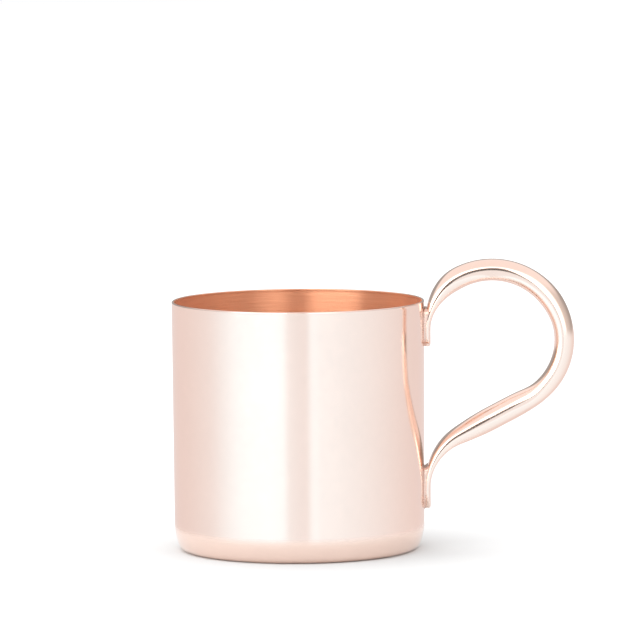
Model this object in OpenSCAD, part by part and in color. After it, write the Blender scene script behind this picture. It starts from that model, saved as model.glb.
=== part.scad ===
// Drinking mug of sheet copper: a cup drawn in one piece, and a handle bent from round
// copper tube whose two flattened ends are brazed to the wall.
// Origin on the cup's axis at the plane it stands on, +Z up, handle towards +X.

/* [Cup] */
// Outside diameter over the rounded lip
rim_d = 84; // [76:0.5:92]
// Height from the table to the top of the lip
cup_h = 83; // [78:0.5:95]
// How much narrower the wall is at the bottom than at the top, on the diameter
taper = 0.7; // [0:0.1:2]
// Thickness of the copper sheet
sheet = 0.7; // [0.6:0.1:1.2]
// Thickness of the burnished lip
lip = 0.8; // [0.8:0.1:1.6]
// Outside radius of the corner between the wall and the bottom
corner_r = 3.2; // [2.5:0.1:6]
// Outside radius of the curve that draws the wall in above the corner
draw_r = 20; // [14:1:30]
// How far that curve turns in, in degrees
draw_turn = 20; // [12:1:28]
// Width of the flat ring that the cup stands on
foot_w = 3.5; // [2:0.5:6]
// How far the middle of the bottom is pushed up
recess = 0.7; // [0.3:0.1:1.5]
// Width of the sloping step around the pushed-up middle
step_w = 1.5; // [0.8:0.1:3]

/* [Handle] */
// Outside diameter of the round tube
tube_d = 7.94; // [7:0.01:9]
// Wall of the tube, half the thickness of its flattened ends
tube_wall = 1; // [0.8:0.1:1.1]
// Thickness of the tube around the grip, where the tightest bend squeezes it
grip_t = 6.7; // [6.4:0.1:7.8]
// Thickness of the tube over the crown of the loop
crown_t = 7.4; // [6.8:0.1:7.8]
// How far the grip bend shifts the widest part of the tube towards the inside of the loop
bend_shift = 0.55; // [0:0.05:0.8]
// Height of the lower end's tip
low_tip_z = 13; // [10:0.5:16]
// Height where the lower end leaves the wall
low_leave_z = 20.5; // [18:0.5:23]
// Centreline radius of the bend above the lower end
low_bend_r = 19; // [16:0.5:24]
// Slope of the straight stretch, degrees above level
slope = 27.5; // [24:0.5:32]
// Length of the straight stretch
straight = 26.5; // [24:0.5:30]
// Centreline radius of the bend around the outside of the grip
grip_r = 22.2; // [20:0.1:24]
// Centreline radius of the bend down to the wall at the top
top_bend_r = 19; // [16:0.5:22]
// Length of the upper end that lies along the wall
high_flat = 6; // [4:0.5:9]
// Length over which the lower end opens from flat to round
low_flare = 33; // [24:1:40]
// Length over which the upper end opens from flat to round
high_flare = 21; // [18:1:28]

/* [Braze] */
// Thickness of the filler between the handle and the wall
film = 0.2; // [0.1:0.05:0.3]
// How far the filler stops inside the edge of the flattened end
film_edge = 0.5; // [0.3:0.1:1]

/* [Hidden] */
$fn = 96;

COPPER = [0.95, 0.68, 0.58];
FILLER = [0.86, 0.66, 0.50];

// Cup
wall_top_r = rim_d / 2 - (lip - sheet) / 2;
wall_base_r = wall_top_r - taper / 2;
draw_x = wall_base_r - draw_r;
draw_z = corner_r + (draw_r - corner_r) * sin(draw_turn);
corner_x = draw_x + (draw_r - corner_r) * cos(draw_turn);
foot_in_r = corner_x - foot_w;
function wall_r(z) =
    wall_base_r + (wall_top_r - wall_base_r) * (z - draw_z) / (cup_h - draw_z);

// Route of the handle's centreline, in the plane y = 0: each stretch is [length, turn in degrees]
GRIP_END = 113;
CROWN_END = 206;
high_tip_z = 67.5;
flat_half = tube_wall;
low_face_r = wall_r((low_tip_z + low_leave_z) / 2) + film;
high_face_r = wall_r(high_tip_z + high_flat / 2) + film;
function arc_length(r, turn) = r * abs(turn) * PI / 180;
outward = low_bend_r * (1 - cos(90 - slope)) + straight * cos(slope)
    + grip_r * (sin(GRIP_END) - sin(slope)) - top_bend_r * (1 + sin(CROWN_END));
crown_r = (outward - (high_face_r - low_face_r)) / (sin(GRIP_END) - sin(CROWN_END));
ROUTE = [
    [low_leave_z - low_tip_z, 0],
    [arc_length(low_bend_r, 90 - slope), slope - 90],
    [straight, 0],
    [arc_length(grip_r, GRIP_END - slope), GRIP_END - slope],
    [arc_length(crown_r, CROWN_END - GRIP_END), CROWN_END - GRIP_END],
    [arc_length(top_bend_r, 270 - CROWN_END), 270 - CROWN_END],
    [high_flat, 0],
];
START = [low_face_r + flat_half, low_tip_z, 90];
function sum(list, i = 0) = i == len(list) ? 0 : list[i][0] + sum(list, i + 1);
handle_length = sum(ROUTE);
grip_start = ROUTE[0][0] + ROUTE[1][0] + straight;
crown_start = grip_start + ROUTE[3][0];

// Place and heading [x, z, degrees] after a stretch, and at a distance s along the route
function after(from, stretch) =
    let (r = stretch[1] == 0 ? 0 : stretch[0] * 180 / PI / stretch[1], a = from[2] + stretch[1])
    stretch[1] == 0
        ? [from[0] + stretch[0] * cos(a), from[1] + stretch[0] * sin(a), a]
        : [from[0] + r * (sin(a) - sin(from[2])), from[1] - r * (cos(a) - cos(from[2])), a];
function place(s, from = START, i = 0) =
    s <= ROUTE[i][0] || i == len(ROUTE) - 1
        ? after(from, [s, ROUTE[i][1] * s / ROUTE[i][0]])
        : place(s - ROUTE[i][0], after(from, ROUTE[i]), i + 1);

// Cross-section of the tube: half its thickness in the plane of the loop and half its width.
// The tube keeps its girth as it is flattened, so the width follows from the thickness.
function ease(t) = let (u = min(max(t, 0), 1)) u * u * (3 - 2 * u);
function opened(s) = min(
    ease((s - ROUTE[0][0]) / low_flare),
    ease((handle_length - s - high_flat) / high_flare));
function squeezed(s) = ease((s - grip_start + 6) / 12);
function relaxed(s) = ease((s - crown_start + 6) / 14);
function full_t(s) =
    tube_d - (tube_d - grip_t) * squeezed(s) + (crown_t - grip_t) * relaxed(s);
function half_t(s) = flat_half + opened(s) * (full_t(s) / 2 - flat_half);
girth = PI * tube_d;
function half_w(s) = half_t(s) + (girth - 2 * PI * half_t(s)) / 4;

// The tips are round, seen from the front and from the side
function rounded(d, r) = d >= r ? 1 : sqrt(max(0, 1 - pow(1 - d / r, 2)));
function to_tip(s) = min(s, handle_length - s);

// The flattened ends are curved to the wall: how far a point at y drops back towards the axis
function hug(s) = 1 - ease((to_tip(s) - high_flat) / 12);
function drop(s, y) =
    let (low = s < handle_length / 2, r = low ? low_face_r : high_face_r)
    (low ? 1 : -1) * hug(s) * (r - sqrt(r * r - y * y));

// Around the grip the widest part of the tube lies nearer to the inside of the loop
function shift(s) =
    bend_shift * ease((s - grip_start) / 10) * (1 - ease((s - crown_start - 8) / 20));

// Outline of the cross-section, unit offsets [side of the core, cosine, sine]
ARC_STEPS = 8;
FLAT_STEPS = 4;
SECTION = concat(
    [for (k = [0:ARC_STEPS]) let (a = -90 + 180 * k / ARC_STEPS) [1, cos(a), sin(a)]],
    [for (k = [1:FLAT_STEPS - 1]) [1 - 2 * k / FLAT_STEPS, 0, 1]],
    [for (k = [0:ARC_STEPS]) let (a = 90 + 180 * k / ARC_STEPS) [-1, cos(a), sin(a)]],
    [for (k = [1:FLAT_STEPS - 1]) [2 * k / FLAT_STEPS - 1, 0, -1]]
);

// Points of the ring at s, inset from the tube's outside by the given depth
function ring(s, inset) =
    let (
        p = place(s),
        t = (half_t(s) - inset) * rounded(to_tip(s), half_t(s)),
        w = (half_w(s) - inset) * rounded(to_tip(s), half_w(s)),
        round_w = min(half_t(s) - inset, w),
        core = w - round_w
    )
    [for (q = SECTION)
        let (
            y = core * q[0] + round_w * q[1],
            n = t * q[2] + shift(s) * q[1] * q[1] + drop(s, y)
        )
        [p[0] - n * sin(p[2]), y, p[1] + n * cos(p[2])]];

module swept(stations, inset) {
    rings = [for (s = stations) ring(s, inset)];
    count = len(SECTION);
    last = len(stations) - 1;
    points = [for (r = rings) each r];
    sides = [for (i = [0:last - 1]) for (k = [0:count - 1])
        [(i + 1) * count + k, (i + 1) * count + (k + 1) % count,
         i * count + (k + 1) % count, i * count + k]];
    near_cap = [for (k = [0:count - 1]) k];
    far_cap = [for (k = [count - 1:-1:0]) last * count + k];
    polyhedron(points, concat([near_cap], sides, [far_cap]), convexity = 8);
}

// Stations along the handle: close together around the tips, even in between
TIP_ANGLES = [6, 16, 28, 40, 53, 66, 78];
tip_r = half_w(0);
TIP_STATIONS = [for (a = TIP_ANGLES) tip_r * (1 - cos(a))];
RING_COUNT = 100;
run_length = handle_length - 2 * tip_r;
OUTER_STATIONS = concat(
    TIP_STATIONS,
    [for (i = [0:RING_COUNT]) tip_r + run_length * i / RING_COUNT],
    [for (i = [len(TIP_STATIONS) - 1:-1:0]) handle_length - TIP_STATIONS[i]]
);
BORE_STEPS = 48;
bore_start = low_leave_z - low_tip_z + 8;
bore_end = handle_length - high_flat - 6;
BORE_STATIONS = [for (i = [0:BORE_STEPS])
    bore_start + (bore_end - bore_start) * i / BORE_STEPS];

// Half profile of the cup's outside (inset 0) or inside (inset = sheet), filled to the axis
module cup_outline(inset, top) {
    join_z = corner_r - (corner_r - inset) * sin(draw_turn);
    polygon([
        [0, inset],
        [corner_x, inset],
        [corner_x + (corner_r - inset) * cos(draw_turn), join_z],
        [wall_base_r - inset, draw_z],
        [wall_top_r - inset, cup_h],
        [wall_top_r - inset, top],
        [0, top]
    ]);
    translate([corner_x, corner_r]) circle(corner_r - inset);
    intersection() {
        translate([draw_x, draw_z]) circle(draw_r - inset);
        translate([draw_x, join_z]) square([draw_r, draw_z - join_z]);
    }
}

// Half profile of the pushed-up middle of the bottom, from height z
module recess_outline(z) {
    polygon([[0, z], [foot_in_r, z], [foot_in_r - step_w, z + recess], [0, z + recess]]);
}

module cup() {
    color(COPPER) rotate_extrude($fn = 180) {
        difference() {
            union() {
                difference() {
                    cup_outline(0, cup_h);
                    cup_outline(sheet, cup_h + 1);
                    translate([0, cup_h - lip / 2]) square([rim_d, lip]);
                }
                recess_outline(sheet);
            }
            recess_outline(0);
        }
        translate([rim_d / 2 - lip / 2, cup_h - lip / 2]) circle(lip / 2);
    }
}

module handle() {
    color(COPPER) difference() {
        swept(OUTER_STATIONS, 0);
        swept(BORE_STATIONS, tube_wall);
    }
}

// Filler between the wall and the flattened end that starts at tip_z; up is 1 or -1
module braze(face_r, tip_z, flat, up) {
    half = half_w(0) - film_edge;
    color(FILLER) difference() {
        intersection() {
            cylinder(r = face_r, h = cup_h);
            translate([0, 0, tip_z + up * (half + film_edge)]) rotate([90, 0, 90])
                linear_extrude(rim_d) {
                    circle(half);
                    translate([-half, up > 0 ? 0 : half - flat])
                        square([2 * half, flat - half]);
                }
        }
        translate([0, 0, draw_z])
            cylinder(r1 = wall_base_r, r2 = wall_top_r, h = cup_h - draw_z);
    }
}

module lower_braze() {
    braze(low_face_r, low_tip_z, low_leave_z - low_tip_z, 1);
}

module upper_braze() {
    braze(high_face_r, high_tip_z, high_flat, -1);
}

cup();
handle();
lower_braze();
upper_braze();
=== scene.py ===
"""Copper mug: a drawn copper cup with a tube handle brazed to its side."""

import math

import bmesh
import bpy
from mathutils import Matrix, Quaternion, Vector


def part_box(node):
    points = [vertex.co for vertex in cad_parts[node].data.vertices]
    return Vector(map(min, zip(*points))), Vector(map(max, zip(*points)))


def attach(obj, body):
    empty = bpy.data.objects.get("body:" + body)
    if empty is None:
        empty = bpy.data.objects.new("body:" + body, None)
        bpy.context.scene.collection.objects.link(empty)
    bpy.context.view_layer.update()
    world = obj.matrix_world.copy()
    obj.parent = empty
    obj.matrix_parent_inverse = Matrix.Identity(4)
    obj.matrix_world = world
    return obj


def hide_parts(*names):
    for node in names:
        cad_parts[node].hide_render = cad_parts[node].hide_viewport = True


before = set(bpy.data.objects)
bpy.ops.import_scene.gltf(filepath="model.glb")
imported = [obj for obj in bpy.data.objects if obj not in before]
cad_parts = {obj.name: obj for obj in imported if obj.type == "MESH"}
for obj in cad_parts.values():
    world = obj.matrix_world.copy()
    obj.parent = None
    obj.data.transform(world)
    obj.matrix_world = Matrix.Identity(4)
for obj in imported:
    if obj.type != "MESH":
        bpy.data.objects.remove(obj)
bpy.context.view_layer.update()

bl_info = {
    "name": "Copper Mug",
    "version": (1, 0, 0),
    "blender": (4, 5, 0),
    "location": "View3D > Sidebar > Copper Mug",
    "description": "Adds a copper mug: cup, tube handle, braze fillets and a studio",
    "category": "Add Mesh",
}

MM = 0.001
BODY = "root"
CUP_LOW, CUP_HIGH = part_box("cup")
HANDLE_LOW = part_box("handle")[0]

# Steps that only set how fine a mesh is.
TUBE_SEGMENTS = 24
NOSE_STEPS = 24
SIDE_STEPS = 12
CORNER_STEPS = 6
ACROSS_STEPS = 10
FILLET_STEPS = 6

ON_AXIS = 1e-6  # closer to the cup's axis than this is on it

# How the tube's section changes along its route.
BEND_LEAD = 6 * MM  # the squeeze of a bend begins this far before it
GRIP_EASE = 12 * MM  # and takes this long at the grip
CROWN_EASE = 14 * MM  # and this long to relax over the crown
SHIFT_IN = 10 * MM  # the widest part moves inwards over this length of the grip bend
SHIFT_LAG = 8 * MM  # stays there this far past the start of the crown
SHIFT_OUT = 20 * MM  # and moves back over this length
HUG_EASE = 12 * MM  # a flattened end stops following the wall's curve over this length
SIDE_SPREAD = 1.6  # above 1, more of a ring's points stand on its round sides

# Angles round a rounded tip where a ring stands, closer together towards the end.
TIP_ANGLES = (4, 10, 17, 26, 37, 50, 64, 78)

# The fillet of filler metal.
FILLET_CORNER = 1.2 * MM  # radius of the outline's corners
SEAT_ANGLE = 25  # degrees that the filler climbs round the flattened edge
ROOT_DROP = 1 * MM  # how far it fills the wedge where the tube leaves the wall
FOOT_SINK = 0.15 * MM  # how deep its edge is sunk in the wall
SEAT_SINK = 0.3 * MM  # how deep its edge is sunk in the tube
SEAT_INSET = 0.97  # share of the width at which that sunk edge lies


# ---------------------------------------------------------------- settings


def length(name, value, description):
    """A distance setting, in metres."""
    return bpy.props.FloatProperty(
        name=name, description=description, default=value, subtype="DISTANCE", unit="LENGTH",
        precision=5,
    )


def angle(name, degrees, description):
    """An angle setting, given here in degrees and kept in radians."""
    return bpy.props.FloatProperty(
        name=name, description=description, default=math.radians(degrees), subtype="ANGLE",
        unit="ROTATION",
    )


def colour(name, rgb, description):
    """A linear colour setting."""
    return bpy.props.FloatVectorProperty(
        name=name, description=description, default=rgb, subtype="COLOR", size=3, min=0, max=1,
    )


def number(name, value, description):
    """A plain factor."""
    return bpy.props.FloatProperty(name=name, description=description, default=value)


class MugCupSettings(bpy.types.PropertyGroup):
    """Sizes of the cup."""

    height: length("Height", CUP_HIGH[2] - CUP_LOW[2], "From the table to the top of the lip")
    rim_d: length("Rim diameter", 84 * MM, "Outside diameter over the rounded lip")
    taper: length("Taper", 0.7 * MM, "How much narrower the wall is at the bottom")
    sheet: length("Sheet", 0.7 * MM, "Thickness of the copper sheet")
    lip: length("Lip", 0.8 * MM, "Thickness of the burnished lip")
    corner_r: length("Corner radius", 3.2 * MM, "Outside radius between wall and bottom")
    draw_r: length("Draw radius", 20 * MM, "Radius that draws the wall in above the corner")
    draw_turn: angle("Draw turn", 20, "How far that curve turns in")
    foot_w: length("Foot width", 3.5 * MM, "Width of the flat ring the cup stands on")
    recess: length("Recess", 0.7 * MM, "How far the middle of the bottom is pushed up")
    step_w: length("Step width", 1.5 * MM, "Width of the slope around the recess")
    turns: bpy.props.IntProperty(
        name="Spin steps", description="Faces around the cup", default=256, min=64, max=512
    )


class MugHandleSettings(bpy.types.PropertyGroup):
    """Sizes of the tube and of its route in the plane y = 0."""

    tube_d: length("Tube", 7.94 * MM, "Outside diameter of the round tube")
    grip_t: length("Grip thickness", 6.7 * MM, "Thickness in the tightest bend, at the grip")
    crown_t: length("Crown thickness", 7.4 * MM, "Thickness over the crown of the loop")
    bend_shift: length("Bend shift", 0.55 * MM, "Shift of the widest part towards the inside")
    flat_t: length("Flat thickness", 2 * MM, "Thickness of the flattened ends")
    low_leave_z: length("Lower end leaves at", 20.5 * MM, "Height where the lower end leaves")
    low_bend_r: length("Lower bend", 19 * MM, "Centreline radius above the lower end")
    slope: angle("Slope", 27.5, "Slope of the straight stretch above level")
    straight: length("Straight", 26.5 * MM, "Length of the straight stretch")
    grip_r: length("Grip bend", 22.2 * MM, "Centreline radius around the grip")
    grip_end: angle("Grip end", 113, "Heading where the grip bend ends")
    crown_end: angle("Crown end", 206, "Heading where the crown bend ends")
    top_bend_r: length("Top bend", 19 * MM, "Centreline radius down to the wall")
    high_tip_z: length("Upper tip", 67.5 * MM, "Height of the upper end's tip")
    high_flat: length("Upper flat", 6 * MM, "Length of the upper end along the wall")
    low_flare: length("Lower flare", 33 * MM, "Length over which the lower end opens to round")
    high_flare: length("Upper flare", 21 * MM, "Length over which the upper end opens to round")
    rings: bpy.props.IntProperty(
        name="Rings", description="Rings of the cage along the tube", default=96, min=40, max=200
    )


class MugBrazeSettings(bpy.types.PropertyGroup):
    """Sizes of the filler metal between handle and wall."""

    film: length("Film", 0.2 * MM, "Thickness of the filler under the flattened end")
    fillet: length("Fillet", 0.5 * MM, "Width of the fillet around the flattened end")
    low_reach: length("Lower reach", 14.5 * MM, "From the lower tip to the end of the filler")
    high_reach: length("Upper reach", 12.7 * MM, "From the upper tip to the end of the filler")


class MugFinishSettings(bpy.types.PropertyGroup):
    """Colours of the copper and the filler."""

    polished: colour("Polished copper", (0.95, 0.735, 0.64), "Lacquered outside")
    tube: colour("Tube copper", (0.97, 0.75, 0.645), "Polished handle")
    # The inside's deep orange is partly the bare copper's own colour and partly painted shade: it
    # stands in for the darker, redder light that bounces round inside the cup.
    spun: colour("Spun copper", (0.99, 0.44, 0.26), "Bare inside")
    filler: colour("Filler", (0.80, 0.55, 0.46), "Braze metal")


class MugStageSettings(bpy.types.PropertyGroup):
    """Camera, floor and studio light."""

    camera_distance: length("Camera distance", 2, "From the middle of the cup")
    camera_height: angle("Camera height", 6.63, "Angle above level of the camera")
    camera_roll: angle("Camera roll", 0.44, "Turn about the line of sight")
    view_width: length("View width", 213.1 * MM, "Width of the view at the cup")
    aim_right: length("Aim right", 7.33 * MM, "Aim point right of the cup's axis")
    aim_up: length("Aim up", 34.7 * MM, "Aim point above the middle of the cup")
    floor: colour("Floor", (0.82, 0.82, 0.82), "Pale paper sweep")
    bank: number("Left bank", 3.0, "Strength of the bank on the left above table height")
    dome: number("Dome", 1.6, "Even light on the paper floor")
    thrown: number("Thrown light", 0.2, "Share of the light that the metal throws on the floor")
    lean: number("Lean", 0.25, "How much more of that light comes from the left")


class MugSettings(bpy.types.PropertyGroup):
    """All settings of the mug."""

    cup: bpy.props.PointerProperty(type=MugCupSettings, name="Cup", description="Cup sizes")
    handle: bpy.props.PointerProperty(
        type=MugHandleSettings, name="Handle", description="Handle sizes"
    )
    braze: bpy.props.PointerProperty(
        type=MugBrazeSettings, name="Braze", description="Filler sizes"
    )
    finish: bpy.props.PointerProperty(
        type=MugFinishSettings, name="Finish", description="Colours"
    )
    stage: bpy.props.PointerProperty(
        type=MugStageSettings, name="Stage", description="Camera and studio"
    )


# ---------------------------------------------------------------- mesh helpers


def ease(t):
    """Smooth step from 0 to 1."""
    u = min(max(t, 0), 1)
    return u * u * (3 - 2 * u)


def arc(centre, radius, start, end, steps):
    """Points (r, z) of an arc, both ends included, angles in degrees."""
    turn = [math.radians(start + (end - start) * k / steps) for k in range(steps + 1)]
    return [(centre[0] + radius * math.cos(a), centre[1] + radius * math.sin(a)) for a in turn]


def line(start, end, steps):
    """Points from start to end, both left out."""
    return [
        tuple(start[i] + (end[i] - start[i]) * k / steps for i in range(2))
        for k in range(1, steps)
    ]


def add_piece(name, bm, materials, slot, *nodes):
    """Makes the object of a finished bmesh, attaches it to the body and hides the parts it stands
    for.
    """
    mesh = bpy.data.meshes.new(name)
    bm.to_mesh(mesh)
    bm.free()
    mesh.shade_smooth()
    piece = bpy.data.objects.new(name, mesh)
    bpy.context.scene.collection.objects.link(piece)
    for material in materials:
        mesh.materials.append(material)
    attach(piece, BODY)
    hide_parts(*nodes)
    return piece


def sweep(rings):
    """A closed tube through rings of equally many points: one circle, extruded ring by ring."""
    bm = bmesh.new()
    count = len(rings[0])
    around = bm.verts.layers.int.new("around")
    made = bmesh.ops.create_circle(bm, cap_ends=False, segments=count, radius=1)["verts"]
    edges = list(bm.edges)
    for k, vert in enumerate(made):
        vert[around] = k
    for i, ring in enumerate(rings):
        if i:
            new = bmesh.ops.extrude_edge_only(bm, edges=edges)["geom"]
            made = [g for g in new if isinstance(g, bmesh.types.BMVert)]
            edges = [
                g for g in new
                if isinstance(g, bmesh.types.BMEdge) and all(v in made for v in g.verts)
            ]
        for vert in made:
            vert.co = ring[vert[around]]
    bmesh.ops.holes_fill(bm, edges=[e for e in bm.edges if e.is_boundary], sides=0)
    bmesh.ops.recalc_face_normals(bm, faces=bm.faces)
    return bm


# ---------------------------------------------------------------- cup


def wall_line(cup):
    """The straight wall's outside radius at its foot and at its top, and the height of its foot."""
    top = cup.rim_d / 2 - (cup.lip - cup.sheet) / 2
    foot_z = cup.corner_r + (cup.draw_r - cup.corner_r) * math.sin(cup.draw_turn)
    return top - cup.taper / 2, top, foot_z


def cup_profile(cup):
    """Half profile of the cup (r, z): outside from the axis up, the lip, and the inside back down."""
    wall_foot, wall_top, draw_z = wall_line(cup)
    draw_x = wall_foot - cup.draw_r
    corner_x = draw_x + (cup.draw_r - cup.corner_r) * math.cos(cup.draw_turn)
    foot_in = corner_x - cup.foot_w
    turn = math.degrees(cup.draw_turn)
    lip_r = cup.lip / 2
    lip_z = cup.height - lip_r
    neck_z = lip_z - 2 * lip_r

    def bottom(z):
        """The pushed-up middle and its step, from the axis out to the foot."""
        flat_steps, slope_steps = 6, 8
        middle = foot_in - cup.step_w
        flat = [(middle * k / flat_steps, z + cup.recess) for k in range(flat_steps)]
        slope = [
            (middle + cup.step_w * k / slope_steps, z + cup.recess * (1 - ease(k / slope_steps)))
            for k in range(slope_steps + 1)
        ]
        return flat + slope + line((foot_in, z), (corner_x, z), steps=4)

    def side(inset):
        """The corner, the drawn-in curve and the wall, from the foot up to the neck of the lip."""
        corner = arc((corner_x, cup.corner_r), cup.corner_r - inset, -90, -turn, steps=14)
        draw = arc((draw_x, draw_z), cup.draw_r - inset, -turn, 0, steps=8)[1:]
        neck = (wall_top - inset, neck_z)
        return corner + draw + line(draw[-1], neck, steps=28) + [neck]

    outside = bottom(0) + side(0)
    lip = arc((cup.rim_d / 2 - lip_r, lip_z), lip_r, -30, 210, steps=16)
    inside = bottom(cup.sheet) + side(cup.sheet)
    return outside, lip, inside[::-1]


def build_cup(settings):
    """Spins the profile about the cup's axis. The inside and the lip's inner half are spun copper."""
    cup = settings.cup
    outside, lip, inside = cup_profile(cup)
    points = outside + lip + inside
    first_inside = len(outside) + len(lip) * 2 // 3
    bm = bmesh.new()
    height = bm.verts.layers.float.new("along")
    verts = [bm.verts.new((r, 0, z)) for r, z in points]
    edges = [bm.edges.new(pair) for pair in zip(verts, verts[1:])]
    walked = 0
    for before, vert in zip(verts, verts[1:]):
        walked += (vert.co - before.co).length
        vert[height] = walked
    inside_from = verts[first_inside][height]
    bmesh.ops.spin(
        bm, geom=verts + edges, cent=(0, 0, 0), axis=(0, 0, 1), angle=math.tau,
        steps=cup.turns, use_merge=True,
    )
    on_axis = [v for v in bm.verts if math.hypot(v.co.x, v.co.y) < ON_AXIS]
    bmesh.ops.remove_doubles(bm, verts=on_axis, dist=ON_AXIS)
    bmesh.ops.recalc_face_normals(bm, faces=bm.faces)
    uv = bm.loops.layers.uv.new("Spun")
    for face in bm.faces:
        middle = face.calc_center_median()
        turn = math.atan2(middle.y, middle.x)
        along = sum(v[height] for v in face.verts) / len(face.verts)
        face.material_index = 1 if along > inside_from else 0
        for loop in face.loops:
            co = loop.vert.co
            here = math.atan2(co.y, co.x) if math.hypot(co.x, co.y) > ON_AXIS else turn
            here += math.tau * round((turn - here) / math.tau)
            loop[uv].uv = (loop.vert[height] / cup.height, here / math.tau)
    return add_piece(
        "cup_shell", bm, [polished_copper(settings), spun_copper(settings)], "cup_copper", "cup"
    )


# ---------------------------------------------------------------- handle


class TubeRoute:
    """The handle's centreline, its thickness and width, and how its ends hug the wall."""

    def __init__(self, settings):
        cup, tube, braze = settings.cup, settings.handle, settings.braze
        self.tube = tube
        wall_foot, wall_top, draw_z = wall_line(cup)

        def wall_r(z):
            return wall_foot + (wall_top - wall_foot) * (z - draw_z) / (cup.height - draw_z)

        self.wall_r = wall_r
        low_tip_z = HANDLE_LOW[2]
        low_flat = tube.low_leave_z - low_tip_z
        self.low_face = wall_r(low_tip_z + low_flat / 2) + braze.film
        self.high_face = wall_r(tube.high_tip_z + tube.high_flat / 2) + braze.film
        slope, grip, crown = tube.slope, tube.grip_end, tube.crown_end
        outward = (
            tube.low_bend_r * (1 - math.sin(slope)) + tube.straight * math.cos(slope)
            + tube.grip_r * (math.sin(grip) - math.sin(slope))
            - tube.top_bend_r * (1 + math.sin(crown))
        )
        crown_r = (outward - (self.high_face - self.low_face)) / (math.sin(grip) - math.sin(crown))
        upright, down = math.radians(90), math.radians(270)
        bends = [
            (tube.low_bend_r, slope - upright),
            (tube.grip_r, grip - slope),
            (crown_r, crown - grip),
            (tube.top_bend_r, down - crown),
        ]
        arcs = [(radius * abs(turn), turn) for radius, turn in bends]
        self.stretches = [
            (low_flat, 0), arcs[0], (tube.straight, 0), arcs[1], arcs[2], arcs[3],
            (tube.high_flat, 0),
        ]
        self.start = (self.low_face + tube.flat_t / 2, low_tip_z, upright)
        self.length = sum(stretch[0] for stretch in self.stretches)
        self.low_flat = low_flat
        self.grip_start = low_flat + arcs[0][0] + tube.straight
        self.crown_start = self.grip_start + arcs[1][0]

    def place(self, s):
        """Point (x, z) and heading at the distance s."""
        x, z, heading = self.start
        left = s
        for i, (reach, turn) in enumerate(self.stretches):
            last = i == len(self.stretches) - 1
            step = left if last else min(left, reach)
            turned = turn * step / reach
            if turn:
                radius = reach / turn
                x += radius * (math.sin(heading + turned) - math.sin(heading))
                z -= radius * (math.cos(heading + turned) - math.cos(heading))
            else:
                x += step * math.cos(heading)
                z += step * math.sin(heading)
            heading += turned
            left -= step
            if left <= 0:
                break
        return x, z, heading

    def half_t(self, s):
        """Half the thickness in the plane of the loop: flat ends, round straight, squeezed bends."""
        tube = self.tube
        opened = min(
            ease((s - self.low_flat) / tube.low_flare),
            ease((self.length - s - tube.high_flat) / tube.high_flare),
        )
        squeezed = ease((s - self.grip_start + BEND_LEAD) / GRIP_EASE)
        relaxed = ease((s - self.crown_start + BEND_LEAD) / CROWN_EASE)
        full = (
            tube.tube_d - (tube.tube_d - tube.grip_t) * squeezed
            + (tube.crown_t - tube.grip_t) * relaxed
        )
        return tube.flat_t / 2 + opened * (full - tube.flat_t) / 2

    def half_w(self, s):
        """Half the width: the tube keeps its girth as it is flattened."""
        t = self.half_t(s)
        return t + (math.pi * self.tube.tube_d - math.tau * t) / 4

    def shift(self, s):
        """How far the widest part of the tube lies towards the inside of the loop."""
        near = ease((s - self.grip_start) / SHIFT_IN)
        far = ease((s - self.crown_start - SHIFT_LAG) / SHIFT_OUT)
        return self.tube.bend_shift * near * (1 - far)

    def tip_size(self, s):
        """Half thickness and half width, rounded off at the tips."""
        to_tip = min(s, self.length - s)
        half_t, half_w = self.half_t(s), self.half_w(s)
        return half_t * rounded(to_tip, half_t), half_w * rounded(to_tip, half_w)

    def drop(self, s, y):
        """How far a point at y drops back towards the wall."""
        low = s < self.length / 2
        radius = self.low_face if low else self.high_face
        to_tip = min(s, self.length - s)
        hug = 1 - ease((to_tip - self.tube.high_flat) / HUG_EASE)
        sag = radius - math.sqrt(radius * radius - y * y)
        return (hug if low else -hug) * sag

    def point(self, s, y, n):
        """The point at width y and at n to the left of the centreline."""
        x, z, heading = self.place(s)
        return Vector((x - n * math.sin(heading), y, z + n * math.cos(heading)))


def rounded(distance, radius):
    """Outline of a round tip: 0 at the tip, 1 past its radius."""
    return 1 if distance >= radius else math.sqrt(max(0, 1 - (1 - distance / radius) ** 2))


def tube_ring(route, s, segments):
    """Ring of the tube at s: two round sides joined by straight stretches, hugging the wall."""
    thick, wide = route.tip_size(s)
    round_w = min(route.half_t(s), wide)
    core = wide - round_w
    ring = []
    for k in range(segments):
        a = math.tau * (k + 0.5) / segments
        spread = math.cos(a)
        side = max(-1, min(1, spread * SIDE_SPREAD))
        y = core * side + round_w * spread
        n = thick * math.sin(a) + route.shift(s) * spread * spread
        ring.append(route.point(s, y, n + route.drop(s, y)))
    return ring


def build_handle(settings):
    """Sweeps the tube along its route and smooths it."""
    tube = settings.handle
    route = TubeRoute(settings)
    tip = route.half_w(0)
    tip_steps = [tip * (1 - math.cos(math.radians(a))) for a in TIP_ANGLES]
    run = route.length - 2 * tip
    stations = (
        tip_steps
        + [tip + run * i / tube.rings for i in range(tube.rings + 1)]
        + [route.length - d for d in reversed(tip_steps)]
    )
    bm = sweep([tube_ring(route, s, TUBE_SEGMENTS) for s in stations])
    handle = add_piece("handle_tube", bm, [tube_copper(settings)], "handle_copper", "handle")
    smooth = handle.modifiers.new("Smooth", "SUBSURF")
    smooth.levels = smooth.render_levels = 2
    return handle


# ---------------------------------------------------------------- brazes


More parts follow.
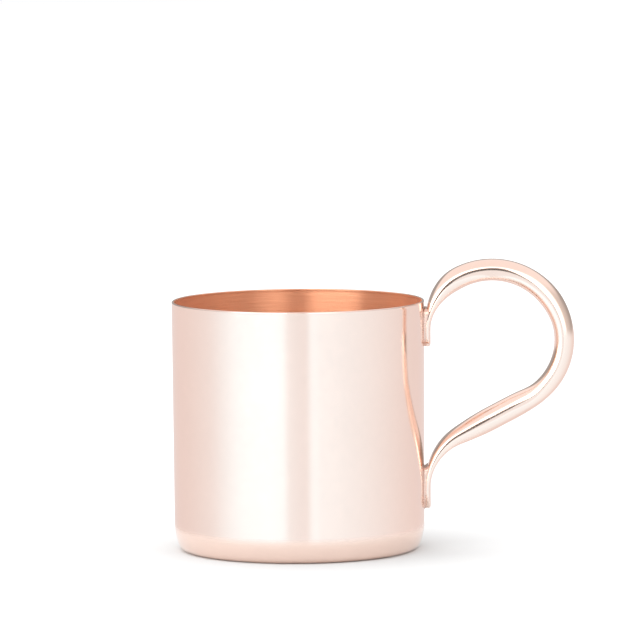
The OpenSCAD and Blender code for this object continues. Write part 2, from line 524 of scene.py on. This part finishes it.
def tongue_outline(route, reach):
    """Outline of the filler's edge on a flattened end: (s, y, outwards along s, outwards along y).

    Round the tip, up one side, across the wedge where the tube leaves the wall, and back down.
    """
    tip = route.half_w(0)
    corner = FILLET_CORNER
    top = reach - corner

    def side(sign):
        """From the tip's end up one side and round the corner."""
        steps = [tip + (top - tip) * k / SIDE_STEPS for k in range(SIDE_STEPS)]
        run = [(s, sign * route.half_w(s), 0, sign) for s in steps]
        mid_y = route.half_w(top) - corner
        turns = [math.radians(90 * k / CORNER_STEPS) for k in range(CORNER_STEPS + 1)]
        bend = [
            (top + corner * math.sin(a), sign * (mid_y + corner * math.cos(a)),
             math.sin(a), sign * math.cos(a))
            for a in turns
        ]
        return run + bend

    around_tip = [math.radians(180 + 180 * k / NOSE_STEPS) for k in range(1, NOSE_STEPS)]
    nose = [
        (tip * (1 + math.sin(a)), tip * math.cos(a), math.sin(a), math.cos(a)) for a in around_tip
    ]
    right, left = side(1), side(-1)[::-1]
    span = right[-1][1]
    across = [(reach, span * (1 - 2 * k / ACROSS_STEPS), 1, 0) for k in range(1, ACROSS_STEPS)]
    return nose + right + across + left


def build_braze(settings, name, node, low):
    """A concave fillet from the wall to the flattened end, all around it."""
    braze = settings.braze
    route = TubeRoute(settings)
    reach = braze.low_reach if low else braze.high_reach
    side = 1 if low else -1
    outline = tongue_outline(route, reach)

    def on_wall(z, y, depth=0):
        """Point on the wall, or at a depth inside it."""
        radius = route.wall_r(z) - depth
        return Vector((math.sqrt(radius * radius - y * y), y, z))

    def on_tube(s, y, depth=0):
        """Point on the tube's side towards the wall."""
        at = s if low else route.length - s
        thick, wide = route.tip_size(at)
        round_w = min(thick, wide)
        over = max(0, min(1, (abs(y) - (wide - round_w)) / round_w))
        back = thick * math.sqrt(1 - over * over) - depth
        return route.point(at, y, side * back + route.drop(at, y))

    def height(s):
        """Height of the route at s."""
        return route.place(s if low else route.length - s)[1]

    feet, roots, seats, sunk_feet, sunk_seats = [], [], [], [], []
    edge = (1 - math.cos(math.radians(SEAT_ANGLE))) * settings.handle.flat_t / 2
    for s, y, out_s, out_y in outline:
        inner_s, inner_y = s - edge * out_s, y - edge * out_y
        z = height(s)
        foot_z = z + side * braze.fillet * out_s
        foot_y = y + braze.fillet * out_y
        past_end = max(0, out_s)
        feet.append(on_wall(foot_z, foot_y))
        sunk_feet.append(on_wall(foot_z, foot_y, FOOT_SINK))
        root_z = height(inner_s) - side * past_end * ROOT_DROP
        seats.append(on_tube(inner_s, inner_y))
        sunk_seats.append(on_tube(inner_s, inner_y * SEAT_INSET, SEAT_SINK))
        roots.append(on_wall(root_z, inner_y))
    rings = [sunk_feet]
    for k in range(FILLET_STEPS + 1):
        u = k / FILLET_STEPS
        rings.append([
            foot * (1 - u) ** 2 + root * (2 * u * (1 - u)) + seat * u ** 2
            for foot, root, seat in zip(feet, roots, seats)
        ])
    rings.append(sunk_seats)
    return add_piece(name, sweep(rings), [filler_metal(settings)], "filler", node)


# ---------------------------------------------------------------- shader helpers


def add(tree, kind, inputs=None, **settings):
    """Adds a node; inputs maps a socket to a value or to the socket that feeds it."""
    made = tree.nodes.new(kind)
    for key, value in settings.items():
        setattr(made, key, value)
    for key, value in (inputs or {}).items():
        if isinstance(value, bpy.types.NodeSocket):
            tree.links.new(value, made.inputs[key])
        else:
            made.inputs[key].default_value = value
    return made


def calc(tree, operation, *values):
    """A Math node's result."""
    return add(
        tree, "ShaderNodeMath", dict(enumerate(values)), operation=operation
    ).outputs[0]


def lift(tree, mask, amount, base):
    """The base, raised by amount where the mask is 1."""
    return calc(tree, "MULTIPLY_ADD", mask, amount, base)


def soft_step(tree, value, low, high):
    """0 below low, 1 above high, and smooth between."""
    return add(
        tree, "ShaderNodeMapRange", {"Value": value, "From Min": low, "From Max": high},
        interpolation_type="SMOOTHSTEP",
    ).outputs["Result"]


def blend_colours(tree, factor, first, second):
    """A Mix node's colour."""
    mix = add(tree, "ShaderNodeMix", data_type="RGBA")
    for socket, value in ((mix.inputs[0], factor), (mix.inputs[6], first), (mix.inputs[7], second)):
        if isinstance(value, bpy.types.NodeSocket):
            tree.links.new(value, socket)
        else:
            socket.default_value = value
    return mix.outputs[2]


def make_group(name, inputs, outputs, build):
    """A shader node group, built once."""
    if name in bpy.data.node_groups:
        return bpy.data.node_groups[name]
    group = bpy.data.node_groups.new(name, "ShaderNodeTree")
    for label, kind, default in inputs:
        socket = group.interface.new_socket(label, in_out="INPUT", socket_type=kind)
        if default is not None:
            socket.default_value = default
    for label, kind in outputs:
        group.interface.new_socket(label, in_out="OUTPUT", socket_type=kind)
    source = group.nodes.new("NodeGroupInput")
    sink = group.nodes.new("NodeGroupOutput")
    build(group, source.outputs, sink.inputs)
    return group


def use_group(tree, group, inputs):
    """Places a node group in a material."""
    made = tree.nodes.new("ShaderNodeGroup")
    made.node_tree = group
    for key, value in inputs.items():
        if isinstance(value, bpy.types.NodeSocket):
            tree.links.new(value, made.inputs[key])
        else:
            made.inputs[key].default_value = value
    return made


def polish_haze():
    """Cloudy change of shine left by the polishing wheel, at two sizes."""
    fine_ratio, wide_share, fine_share = 9, 0.65, 0.35

    def build(tree, given, out):
        wide = add(
            tree, "ShaderNodeTexNoise",
            {"Vector": given["Vector"], "Scale": given["Scale"], "Detail": 4, "Roughness": 0.6},
        ).outputs[0]
        fine_scale = calc(tree, "MULTIPLY", given["Scale"], fine_ratio)
        fine = add(
            tree, "ShaderNodeTexNoise",
            {"Vector": given["Vector"], "Scale": fine_scale, "Detail": 3, "Roughness": 0.7},
        ).outputs[0]
        both = lift(tree, fine, fine_share, calc(tree, "MULTIPLY", wide, wide_share))
        tree.links.new(soft_step(tree, both, low=0.3, high=0.7), out["Haze"])

    return make_group(
        "Polish haze",
        [("Vector", "NodeSocketVector", None), ("Scale", "NodeSocketFloat", 40.0)],
        [("Haze", "NodeSocketFloat")],
        build,
    )


def turned_lines():
    """Fine lines around the cup's axis, on wall and bottom alike, as a spinning tool leaves them."""
    near_axis = 0.0001

    def build(tree, given, out):
        x, y, z = add(tree, "ShaderNodeSeparateXYZ", {0: given["Vector"]}).outputs
        square = calc(tree, "MULTIPLY_ADD", x, x, calc(tree, "MULTIPLY", y, y))
        radius = calc(tree, "SQRT", square)
        safe = calc(tree, "MAXIMUM", radius, near_axis)
        across = calc(tree, "MULTIPLY", calc(tree, "SUBTRACT", z, radius), given["Lines"])
        waver = given["Waver"]
        spot = add(
            tree, "ShaderNodeCombineXYZ",
            {
                0: calc(tree, "MULTIPLY", calc(tree, "DIVIDE", x, safe), waver),
                1: calc(tree, "MULTIPLY", calc(tree, "DIVIDE", y, safe), waver),
                2: across,
            },
        ).outputs[0]
        lines = add(
            tree, "ShaderNodeTexNoise",
            {"Vector": spot, "Scale": 1.0, "Detail": 5, "Roughness": 0.65},
        ).outputs[0]
        tree.links.new(lines, out["Height"])

    return make_group(
        "Turned lines",
        [
            ("Vector", "NodeSocketVector", None),
            ("Lines", "NodeSocketFloat", 2500.0),
            ("Waver", "NodeSocketFloat", 3.0),
        ],
        [("Height", "NodeSocketFloat")],
        build,
    )


def hairlines():
    """Sparse hair scratches from use and wiping, in three directions."""
    turns, tilt, stretch = (0.3, 1.35, 2.4), 0.7, 22.0

    def build(tree, given, out):
        total = None
        for turn in turns:
            turned = add(
                tree, "ShaderNodeMapping",
                {"Vector": given["Vector"], "Rotation": (turn, turn * tilt, turn),
                 "Scale": (1.0, stretch, stretch)},
            ).outputs[0]
            grain = add(
                tree, "ShaderNodeTexNoise",
                {"Vector": turned, "Scale": given["Scale"], "Detail": 2, "Roughness": 0.5},
            ).outputs[0]
            scratch = soft_step(tree, grain, low=0.68, high=0.74)
            total = scratch if total is None else calc(tree, "MAXIMUM", total, scratch)
        tree.links.new(total, out["Scratches"])

    return make_group(
        "Hairlines",
        [("Vector", "NodeSocketVector", None), ("Scale", "NodeSocketFloat", 60.0)],
        [("Scratches", "NodeSocketFloat")],
        build,
    )


def new_metal(name, rgb, **shine):
    """A metal material whose uniform values sit on the shader's own sockets."""
    material = bpy.data.materials.new(name)
    material.use_nodes = True
    tree = material.node_tree
    shader = tree.nodes["Principled BSDF"]
    shader.inputs["Base Color"].default_value = (*rgb, 1)
    shader.inputs["Metallic"].default_value = 1
    for label, value in shine.items():
        shader.inputs[label.replace("_", " ")].default_value = value
    where = add(tree, "ShaderNodeTexCoord").outputs["Object"]
    return material, tree, shader, where


def shade(rgb, factor):
    """A colour made darker or lighter, with alpha."""
    return (*[min(1, c * factor) for c in rgb], 1)


def polished_copper(settings):
    """Outside of the cup: polished and lacquered, with faint haze and hair scratches."""
    rgb = settings.finish.polished
    material, tree, shader, where = new_metal(
        "polished_copper", rgb, Coat_Weight=0.3, Coat_Roughness=0.06, Coat_IOR=1.5
    )
    haze = use_group(tree, polish_haze(), {"Vector": where, "Scale": 35.0}).outputs[0]
    scratches = use_group(tree, hairlines(), {"Vector": where, "Scale": 45.0}).outputs[0]
    lines = use_group(
        tree, turned_lines(), {"Vector": where, "Lines": 1400.0, "Waver": 2.0}
    ).outputs[0]
    rough = lift(tree, haze, amount=0.05, base=0.1)
    rough = lift(tree, scratches, amount=0.05, base=rough)
    tint = blend_colours(tree, haze, shade(rgb, 0.98), shade(rgb, 1.01))
    tree.links.new(rough, shader.inputs["Roughness"])
    tree.links.new(tint, shader.inputs["Base Color"])
    bump = add(
        tree, "ShaderNodeBump", {"Height": lines, "Strength": 0.02, "Distance": 0.0001}
    ).outputs[0]
    tree.links.new(bump, shader.inputs["Normal"])
    return material


def spun_copper(settings):
    """Inside of the cup: satin copper with the fine lines of spinning and a matt share. Its deep
    orange is partly the bare copper's own colour and partly painted shade, standing in for light that
    bounces round inside the cup.
    """
    # Base colour: bare copper with painted shade of the light bounced round inside the cup.
    rgb = settings.finish.spun
    material, tree, shader, where = new_metal(
        "spun_copper", rgb, Metallic=0.72, Specular_IOR_Level=0.2, Anisotropic=1.0
    )
    tangent = add(tree, "ShaderNodeTangent", direction_type="UV_MAP", uv_map="Spun").outputs[0]
    tree.links.new(tangent, shader.inputs["Tangent"])
    lines = use_group(
        tree, turned_lines(), {"Vector": where, "Lines": 1500.0, "Waver": 3.0}
    ).outputs[0]
    haze = use_group(tree, polish_haze(), {"Vector": where, "Scale": 60.0}).outputs[0]
    tint = blend_colours(tree, lines, shade(rgb, 0.8), shade(rgb, 1.2))
    rough = lift(tree, haze, amount=0.05, base=0.25)
    rough = lift(tree, lines, amount=0.1, base=rough)
    tree.links.new(tint, shader.inputs["Base Color"])
    tree.links.new(rough, shader.inputs["Roughness"])
    bump = add(
        tree, "ShaderNodeBump", {"Height": lines, "Strength": 0.4, "Distance": 0.0002}
    ).outputs[0]
    tree.links.new(bump, shader.inputs["Normal"])
    return material


def tube_copper(settings):
    """The handle: polished tube with faint haze and hair scratches."""
    rgb = settings.finish.tube
    material, tree, shader, where = new_metal(
        "tube_copper", rgb, Coat_Weight=0.3, Coat_Roughness=0.06, Coat_IOR=1.5
    )
    haze = use_group(tree, polish_haze(), {"Vector": where, "Scale": 70.0}).outputs[0]
    scratches = use_group(tree, hairlines(), {"Vector": where, "Scale": 80.0}).outputs[0]
    rough = lift(tree, haze, amount=0.06, base=0.09)
    rough = lift(tree, scratches, amount=0.08, base=rough)
    tint = blend_colours(tree, haze, shade(rgb, 0.97), shade(rgb, 1.01))
    tree.links.new(rough, shader.inputs["Roughness"])
    tree.links.new(tint, shader.inputs["Base Color"])
    return material


def filler_metal(settings):
    """Braze metal: satin, with the ripples of a run of melted metal."""
    rgb = settings.finish.filler
    material, tree, shader, where = new_metal("filler_metal", rgb)
    haze = use_group(tree, polish_haze(), {"Vector": where, "Scale": 300.0}).outputs[0]
    ripples = add(
        tree, "ShaderNodeTexNoise", {"Vector": where, "Scale": 900.0, "Detail": 2}
    ).outputs[0]
    tint = blend_colours(tree, haze, shade(rgb, 0.9), shade(rgb, 1.06))
    rough = lift(tree, haze, amount=0.15, base=0.2)
    tree.links.new(tint, shader.inputs["Base Color"])
    tree.links.new(rough, shader.inputs["Roughness"])
    bump = add(
        tree, "ShaderNodeBump", {"Height": ripples, "Strength": 0.3, "Distance": 0.0003}
    ).outputs[0]
    tree.links.new(bump, shader.inputs["Normal"])
    return material


# ---------------------------------------------------------------- stage


def window(tree, value, centre, half, soft):
    """1 within half of the centre, fading to 0 over soft on both sides, all in degrees."""
    off = calc(tree, "ABSOLUTE", calc(tree, "SUBTRACT", value, centre))
    return soft_step(tree, off, half + soft, half)


def stack(tree, start, *layers):
    """Adds layers of (strength, mask) to a starting level."""
    total = start
    for strength, mask in layers:
        total = lift(tree, mask, strength, total)
    return total


# Linear colours of the studio's light, some of them brighter than white.
TABLE = (0.86, 0.76, 0.74)
TABLE_GLOW = (0.22, 0.57, 0.72)
WALLS = (1.0, 0.98, 0.96)
CEILING = (1.04, 1.0, 1.0, 1)

# Even light of table and walls, and how much more comes from in front.
EVEN_LIGHT = 0.4
FRONT_LIGHT = 0.4

# Stretches of the studio: degrees of the centre, of half the width and of the soft edge.
LENS_SHADE = (-1, 7, 7)
LENS_SLOT = (-1, 8, 4)
LEFT_BANK = (-31, 21, 18)
RIGHT_BANK = (18, 6, 26)
TABLE_LEFT = (-42, 12, 40)
TABLE_RIGHT = (14, 1, 6)

# Strengths of those stretches that are not a setting; a negative one takes light away.
LENS_SHADE_LIGHT = -0.33
LENS_SLOT_LIGHT = -0.95
RIGHT_BANK_LIGHT = 1.9
TABLE_LEFT_LIGHT = 0.33
TABLE_RIGHT_LIGHT = 0.12

# Degrees above level over which one thing gives way to the next.
TABLE_TO_WALLS = (-4, 3)
WALLS_TO_CEILING = (24, 40)
SLOT_TOP = (30, 18)

# Distances from the cup's axis over which the floor turns clear in the metal.
FLOOR_FAR = (45 * MM, 90 * MM)
FLOOR_UNDER = (37 * MM, 35 * MM)

FLOOR_RADIUS = 4
SENSOR_MM = 36


def studio_world(settings):
    """A pale tent, brighter in front, with a soft bank on each side and a slot for the lens.

    Turn is degrees to the right of the camera, rise degrees above level.
    Mirrored rays see the tent, matt surfaces get an even dome, and the camera sees white.
    """
    stage = settings.stage
    world = bpy.data.worlds.new("studio")
    bpy.context.scene.world = world
    world.cycles.sampling_method = "NONE"  # only the rays themselves find this light
    world.use_nodes = True
    tree = world.node_tree
    tree.nodes.clear()
    where = add(tree, "ShaderNodeTexCoord").outputs["Generated"]
    x, y, z = add(tree, "ShaderNodeSeparateXYZ", {0: where}).outputs
    around = calc(tree, "ARCTAN2", x, calc(tree, "MULTIPLY", y, -1))
    facing = calc(tree, "COSINE", around)
    turn = calc(tree, "MULTIPLY", around, math.degrees(1))
    rise = calc(tree, "MULTIPLY", calc(tree, "ARCSINE", z), math.degrees(1))

    lens = window(tree, turn, *LENS_SHADE)
    table = stack(
        tree, EVEN_LIGHT,
        (FRONT_LIGHT, facing),
        (TABLE_LEFT_LIGHT, window(tree, turn, *TABLE_LEFT)),
        (TABLE_RIGHT_LIGHT, window(tree, turn, *TABLE_RIGHT)),
        (LENS_SHADE_LIGHT, lens),
    )
    glow = add(
        tree, "ShaderNodeVectorMath", {0: TABLE_GLOW, "Scale": table}, operation="SCALE"
    ).outputs[0]
    low = add(tree, "ShaderNodeVectorMath", {0: glow, 1: TABLE}, operation="ADD").outputs[0]
    walls = stack(
        tree, EVEN_LIGHT,
        (FRONT_LIGHT, soft_step(tree, facing, -1, 1)),
        (stage.bank, window(tree, turn, *LEFT_BANK)),
        (RIGHT_BANK_LIGHT, window(tree, turn, *RIGHT_BANK)),
    )
    below_top = soft_step(tree, rise, *SLOT_TOP)
    slot = calc(tree, "MULTIPLY", window(tree, turn, *LENS_SLOT), below_top)
    walls = calc(tree, "MULTIPLY", walls, stack(tree, 1, (LENS_SLOT_LIGHT, slot)))
    high = add(
        tree, "ShaderNodeVectorMath", {0: WALLS, "Scale": walls}, operation="SCALE"
    ).outputs[0]
    light = blend_colours(tree, soft_step(tree, rise, *TABLE_TO_WALLS), low, high)
    light = blend_colours(tree, soft_step(tree, rise, *WALLS_TO_CEILING), light, CEILING)
    path = add(tree, "ShaderNodeLightPath").outputs
    leaning = lift(tree, x, amount=-stage.lean, base=1)
    matt = calc(tree, "MULTIPLY", leaning, stage.dome)
    after_matt = calc(tree, "MINIMUM", path["Diffuse Depth"], 1)
    kept = lift(tree, after_matt, amount=stage.thrown - 1, base=1)
    dome = add(tree, "ShaderNodeBackground", {"Color": light, "Strength": kept})
    even = add(tree, "ShaderNodeBackground", {"Color": (1, 1, 1, 1), "Strength": matt})
    white = add(tree, "ShaderNodeBackground", {"Color": (1, 1, 1, 1)})
    lit = add(tree, "ShaderNodeMixShader", {0: path["Is Diffuse Ray"]})
    tree.links.new(dome.outputs[0], lit.inputs[1])
    tree.links.new(even.outputs[0], lit.inputs[2])
    both = add(tree, "ShaderNodeMixShader", {0: path["Is Camera Ray"]})
    tree.links.new(lit.outputs[0], both.inputs[1])
    tree.links.new(white.outputs[0], both.inputs[2])
    output = add(tree, "ShaderNodeOutputWorld")
    tree.links.new(both.outputs[0], output.inputs[0])


def paper(settings):
    """Matt pale paper: it shows in the metal only around the mug, and is clear from below."""
    stage = settings.stage
    material = bpy.data.materials.new("paper")
    material.use_nodes = True
    tree = material.node_tree
    shader = tree.nodes["Principled BSDF"]
    shader.inputs["Specular IOR Level"].default_value = 0
    shader.inputs["Roughness"].default_value = 0.9
    where = add(tree, "ShaderNodeTexCoord").outputs["Object"]
    tooth = add(tree, "ShaderNodeTexNoise", {"Vector": where, "Scale": 900.0}).outputs[0]
    bump = add(tree, "ShaderNodeBump", {"Height": tooth, "Strength": 0.02, "Distance": 0.0001})
    tree.links.new(bump.outputs[0], shader.inputs["Normal"])
    mirrored = add(tree, "ShaderNodeLightPath").outputs["Is Glossy Ray"]
    shader.inputs["Base Color"].default_value = (*stage.floor, 1)
    away = add(tree, "ShaderNodeVectorMath", {0: where}, operation="LENGTH").outputs["Value"]
    far = soft_step(tree, away, *FLOOR_FAR)
    under = soft_step(tree, away, *FLOOR_UNDER)
    fade = calc(tree, "MULTIPLY", mirrored, calc(tree, "MAXIMUM", far, under))
    below = add(tree, "ShaderNodeNewGeometry").outputs["Backfacing"]
    fade = calc(tree, "MAXIMUM", fade, below)
    clear = add(tree, "ShaderNodeBsdfTransparent")
    both = add(tree, "ShaderNodeMixShader", {0: fade})
    tree.links.new(shader.outputs[0], both.inputs[1])
    tree.links.new(clear.outputs[0], both.inputs[2])
    tree.links.new(both.outputs[0], tree.nodes["Material Output"].inputs[0])
    return material


def build_floor(settings):
    """A round paper floor."""
    bm = bmesh.new()
    bmesh.ops.create_circle(bm, cap_ends=True, segments=96, radius=FLOOR_RADIUS)
    mesh = bpy.data.meshes.new("floor")
    bm.to_mesh(mesh)
    bm.free()
    mesh.materials.append(paper(settings))
    floor = bpy.data.objects.new("floor", mesh)
    bpy.context.scene.collection.objects.link(floor)


def build_camera(settings):
    """A long lens a little above level, with the handle on the right."""
    stage = settings.stage
    lens_axis = Vector((0, math.cos(stage.camera_height), -math.sin(stage.camera_height)))
    up = Vector((0, math.sin(stage.camera_height), math.cos(stage.camera_height)))
    middle = Vector((0, 0, settings.cup.height / 2))
    place = middle - lens_axis * stage.camera_distance
    aim = middle + Vector((1, 0, 0)) * stage.aim_right + up * stage.aim_up
    data = bpy.data.cameras.new("camera")
    data.sensor_width = SENSOR_MM
    data.lens = SENSOR_MM * stage.camera_distance / stage.view_width
    data.clip_start, data.clip_end = 0.1, 20
    camera = bpy.data.objects.new("camera", data)
    bpy.context.scene.collection.objects.link(camera)
    look = (aim - place).to_track_quat("-Z", "Y")
    camera.rotation_mode = "QUATERNION"
    camera.location = place
    roll = Quaternion((0, 0, 1), -stage.camera_roll)
    camera.rotation_quaternion = look @ roll
    bpy.context.scene.camera = camera


# ---------------------------------------------------------------- operators and panel


class COPPER_MUG_OT_cup(bpy.types.Operator):
    """Add the spun copper cup"""

    bl_idname = "copper_mug.cup"
    bl_label = "Add Cup"

    def execute(self, context):
        build_cup(context.scene.copper_mug)
        return {"FINISHED"}


class COPPER_MUG_OT_handle(bpy.types.Operator):
    """Add the bent tube handle"""

    bl_idname = "copper_mug.handle"
    bl_label = "Add Handle"

    def execute(self, context):
        build_handle(context.scene.copper_mug)
        return {"FINISHED"}


class COPPER_MUG_OT_brazes(bpy.types.Operator):
    """Add the filler around both ends of the handle"""

    bl_idname = "copper_mug.brazes"
    bl_label = "Add Brazes"

    def execute(self, context):
        settings = context.scene.copper_mug
        build_braze(settings, "lower_fillet", "lower_braze", True)
        build_braze(settings, "upper_fillet", "upper_braze", False)
        return {"FINISHED"}


class COPPER_MUG_OT_stage(bpy.types.Operator):
    """Add the floor, the studio light and the camera"""

    bl_idname = "copper_mug.stage"
    bl_label = "Add Stage"

    def execute(self, context):
        settings = context.scene.copper_mug
        build_camera(settings)
        build_floor(settings)
        studio_world(settings)
        context.scene.view_settings.view_transform = "Standard"
        return {"FINISHED"}


class COPPER_MUG_PT_panel(bpy.types.Panel):
    """Sidebar panel that lists the pieces"""

    bl_idname = "COPPER_MUG_PT_panel"
    bl_label = "Copper Mug"
    bl_space_type = "VIEW_3D"
    bl_region_type = "UI"
    bl_category = "Copper Mug"

    def draw(self, context):
        for operator in OPERATORS:
            self.layout.operator(operator.bl_idname)


OPERATORS = (
    COPPER_MUG_OT_cup, COPPER_MUG_OT_handle, COPPER_MUG_OT_brazes, COPPER_MUG_OT_stage
)
CLASSES = (
    MugCupSettings, MugHandleSettings, MugBrazeSettings, MugFinishSettings, MugStageSettings,
    MugSettings, *OPERATORS, COPPER_MUG_PT_panel,
)


def register():
    for cls in CLASSES:
        bpy.utils.register_class(cls)
    bpy.types.Scene.copper_mug = bpy.props.PointerProperty(
        type=MugSettings, name="Copper Mug", description="Settings of the copper mug"
    )


def unregister():
    del bpy.types.Scene.copper_mug
    for cls in reversed(CLASSES):
        bpy.utils.unregister_class(cls)


def main():
    register()
    bpy.ops.copper_mug.cup()
    bpy.ops.copper_mug.handle()
    bpy.ops.copper_mug.brazes()
    bpy.ops.copper_mug.stage()


if __name__ == "__main__":
    main()
